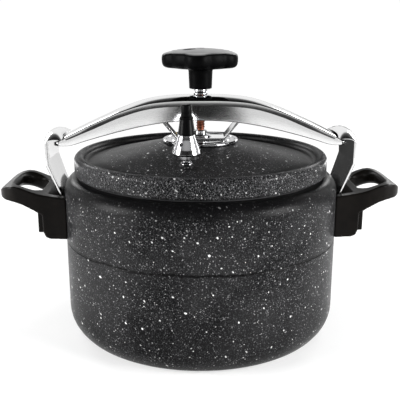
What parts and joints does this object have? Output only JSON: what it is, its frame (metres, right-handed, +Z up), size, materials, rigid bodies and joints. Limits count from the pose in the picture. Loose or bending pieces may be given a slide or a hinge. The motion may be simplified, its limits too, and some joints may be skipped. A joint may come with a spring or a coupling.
{
  "type": "stovetop pressure cooker",
  "caption": "Speckled stovetop pressure cooker with an arched clamp bar, screw knob, hook stirrups, weighted regulator and loop side handles.",
  "frame": {"origin": "centre of the pot's flat base, on the cooking surface", "axes": "+Z up along the pot's axis; +X through the right handle along the closed clamp bar; the regulator is on the -Y side"},
  "size_m": [0.38, 0.26, 0.267],
  "materials": {
    "granite_coating": "satin speckled",
    "rubber": "matt",
    "polished_steel": "polished",
    "chrome": "polished",
    "steel": "machined",
    "copper_steel": "coppered thread",
    "bakelite": "moulded satin",
    "knob_bakelite": "moulded satin",
    "black_plastic": "gloss",
    "brass": "machined"
  },
  "bodies": {
    "pot": {"pot_body": "granite_coating", "pot_base": "granite_coating", "stirrup_left": "polished_steel", "stirrup_right": "polished_steel", "stirrup_rivets_left": "steel", "stirrup_rivets_right": "steel", "handle_left": "bakelite", "handle_right": "bakelite", "handle_bracket_left": "steel", "handle_bracket_right": "steel", "handle_screw_left": "steel", "handle_screw_right": "steel"},
    "lid": {"lid_shell": "granite_coating", "lid_rim": "granite_coating", "lid_gasket": "rubber", "centre_plate": "chrome", "swivel_bushing": "chrome", "bushing_nut": "steel", "vent_pipe": "chrome", "vent_washer": "steel", "vent_nut": "steel", "valve_body": "brass", "valve_washer": "steel", "valve_nut": "steel", "valve_spring": "steel"},
    "bar": {"clamp_bar": "polished_steel", "bar_boss": "steel", "v_clip": "polished_steel", "clip_pins": "steel"},
    "foot": {"thrust_foot": "steel"},
    "screw": {"clamp_screw": "copper_steel", "knob_insert": "chrome", "knob": "knob_bakelite"},
    "needle": {"regulator_needle": "steel"},
    "weight": {"regulator_skirt": "chrome", "regulator_cone": "black_plastic", "regulator_grip": "black_plastic"},
    "plunger": {"valve_plunger": "brass"}
  },
  "joints": [
    {"name": "lid_slide", "type": "slide", "parent": "pot", "child": "lid", "axis": [0, 1, 0], "range_m": [0, 0.28]},
    {"name": "bar_swivel", "type": "hinge", "parent": "lid", "child": "bar", "pos_m": [0, 0, 0.184], "axis": [0, 0, -1], "range_deg": [0, 70]},
    {"name": "screw_travel", "type": "slide", "parent": "bar", "child": "foot", "axis": [0, 0, 1], "range_m": [0, 0.0101]},
    {"name": "knob_turn", "type": "hinge", "parent": "foot", "child": "screw", "pos_m": [0, 0, 0.24], "axis": [0, 0, 1], "range_deg": [0, 1440]},
    {"name": "regulator_lift", "type": "slide", "parent": "lid", "child": "needle", "axis": [0, 0, 1], "range_m": [0, 0.016]},
    {"name": "regulator_spin", "type": "hinge", "parent": "needle", "child": "weight", "pos_m": [-0.0138, -0.073, 0.2], "axis": [0, 0, 1], "continuous": true},
    {"name": "valve_pop", "type": "slide", "parent": "lid", "child": "plunger", "axis": [0, 0, 1], "range_m": [0, 0.003], "stiffness_N_per_m": 200, "springref_m": -0.002, "deforming": ["valve_spring"]}
  ],
  "couplings": [
    {"joint": "screw_travel", "follows": "knob_turn", "m_per_rad": 0.00039789}
  ]
}
